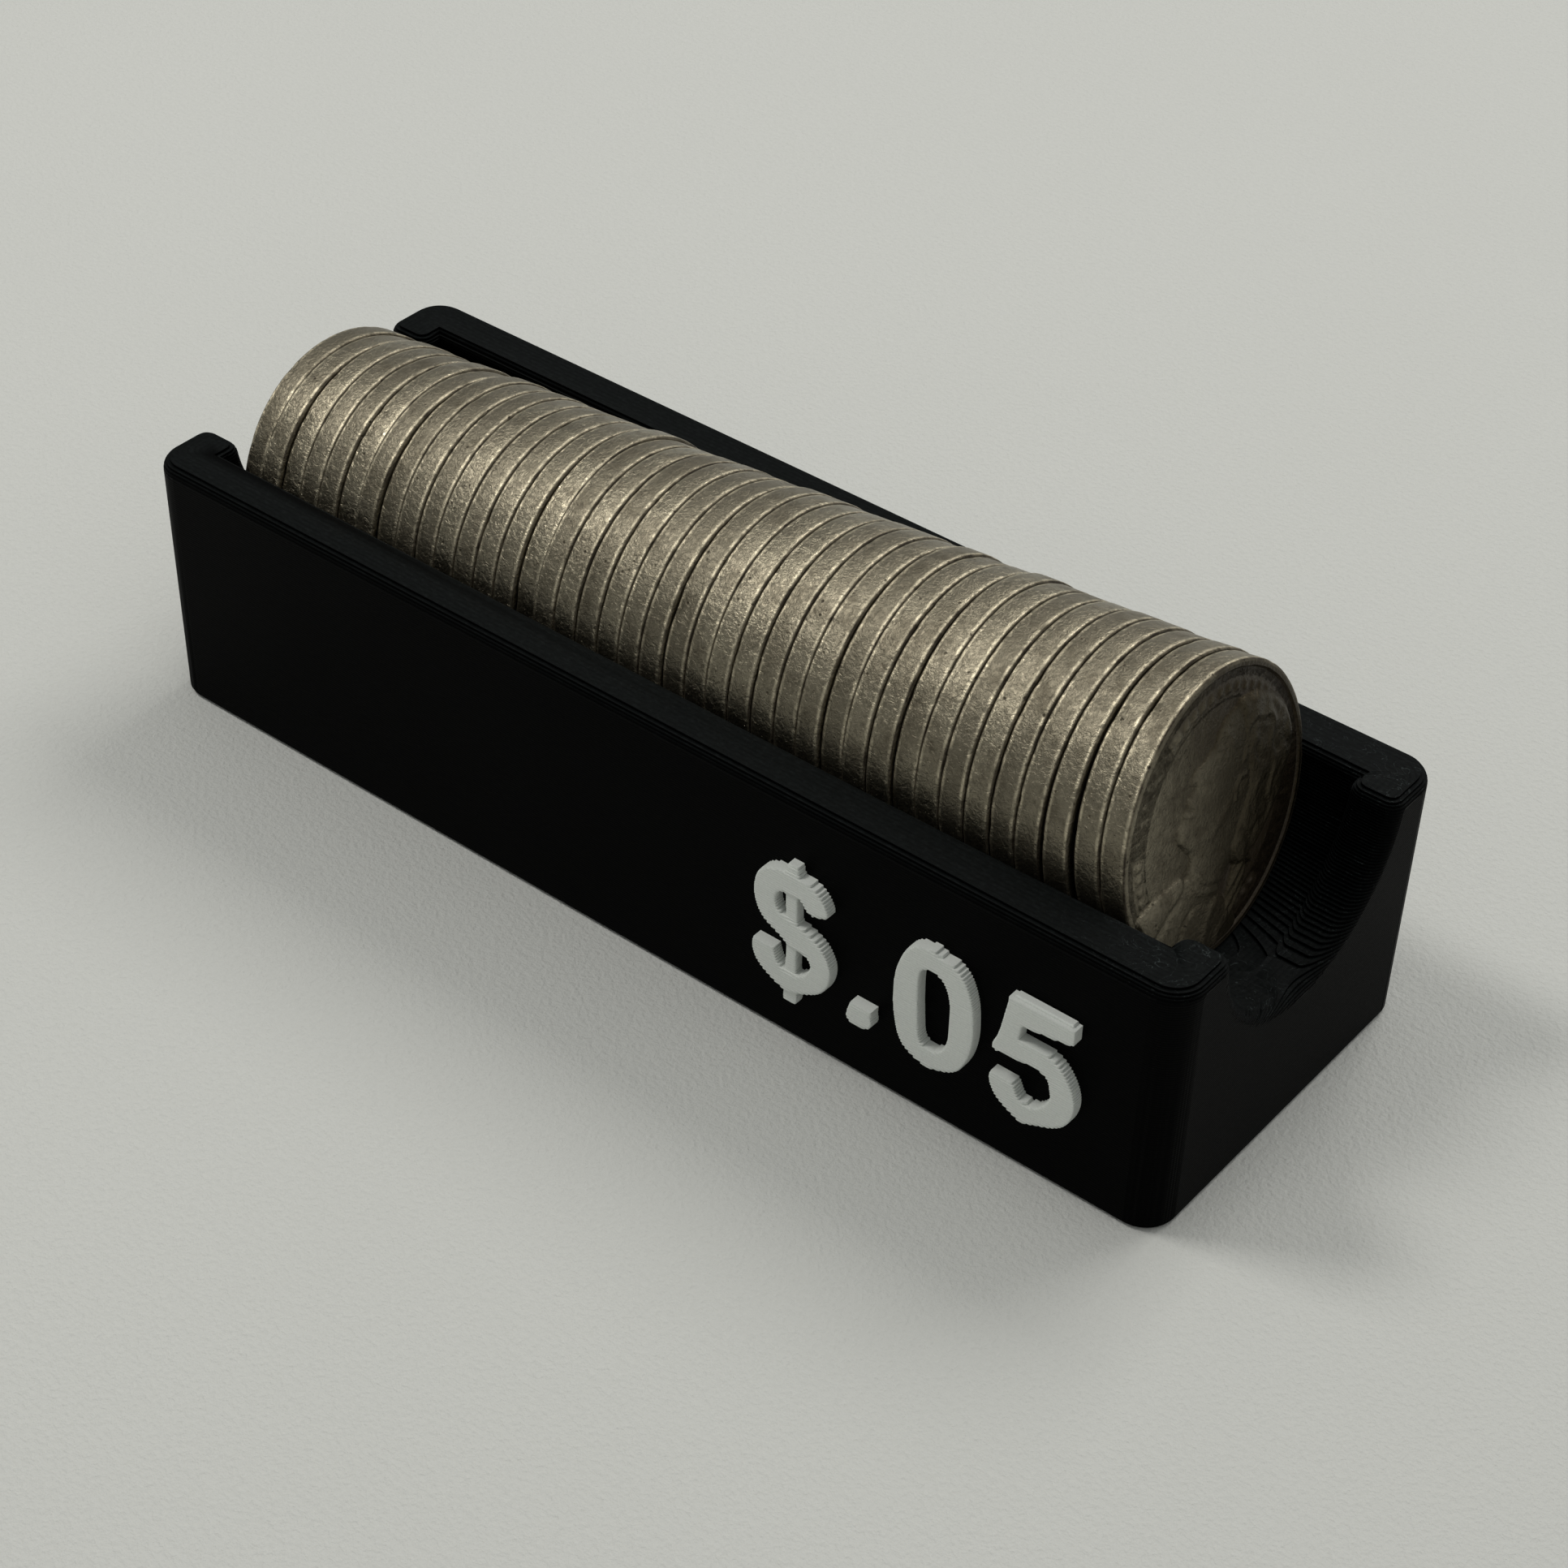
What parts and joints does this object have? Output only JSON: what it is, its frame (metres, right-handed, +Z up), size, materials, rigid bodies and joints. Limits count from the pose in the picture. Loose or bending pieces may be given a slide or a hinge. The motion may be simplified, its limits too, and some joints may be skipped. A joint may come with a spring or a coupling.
{
  "type": "coin sorter",
  "caption": "Open coin tray with a sloping half-round trough and notched ends, holding a full roll of small coins on edge, with a raised value mark on one side.",
  "frame": {"origin": "centre of the flat underside of the tray, on the surface it stands on", "axes": "+X along the tray to the high end of its trough, +Z up, raised value mark on the -Y side"},
  "size_m": [0.0926, 0.0319, 0.0327],
  "materials": {
    "black_plastic": "matte, printed in fine layers",
    "white_plastic": "matte, printed in fine layers",
    "worn_nickel": "worn, satin, a little dirty"
  },
  "bodies": {
    "root": {"tray": "black_plastic", "mark_dollar": "white_plastic", "mark_point": "white_plastic", "mark_zero": "white_plastic", "mark_five": "white_plastic", "coin_01": "worn_nickel", "coin_02": "worn_nickel", "coin_03": "worn_nickel", "coin_04": "worn_nickel", "coin_05": "worn_nickel", "coin_06": "worn_nickel", "coin_07": "worn_nickel", "coin_08": "worn_nickel", "coin_09": "worn_nickel", "coin_10": "worn_nickel", "coin_11": "worn_nickel", "coin_12": "worn_nickel", "coin_13": "worn_nickel", "coin_14": "worn_nickel", "coin_15": "worn_nickel", "coin_16": "worn_nickel", "coin_17": "worn_nickel", "coin_18": "worn_nickel", "coin_19": "worn_nickel", "coin_20": "worn_nickel", "coin_21": "worn_nickel", "coin_22": "worn_nickel", "coin_23": "worn_nickel", "coin_24": "worn_nickel", "coin_25": "worn_nickel", "coin_26": "worn_nickel", "coin_27": "worn_nickel", "coin_28": "worn_nickel", "coin_29": "worn_nickel", "coin_30": "worn_nickel", "coin_31": "worn_nickel", "coin_32": "worn_nickel", "coin_33": "worn_nickel", "coin_34": "worn_nickel", "coin_35": "worn_nickel", "coin_36": "worn_nickel", "coin_37": "worn_nickel", "coin_38": "worn_nickel", "coin_39": "worn_nickel", "coin_40": "worn_nickel"}
  },
  "joints": []
}
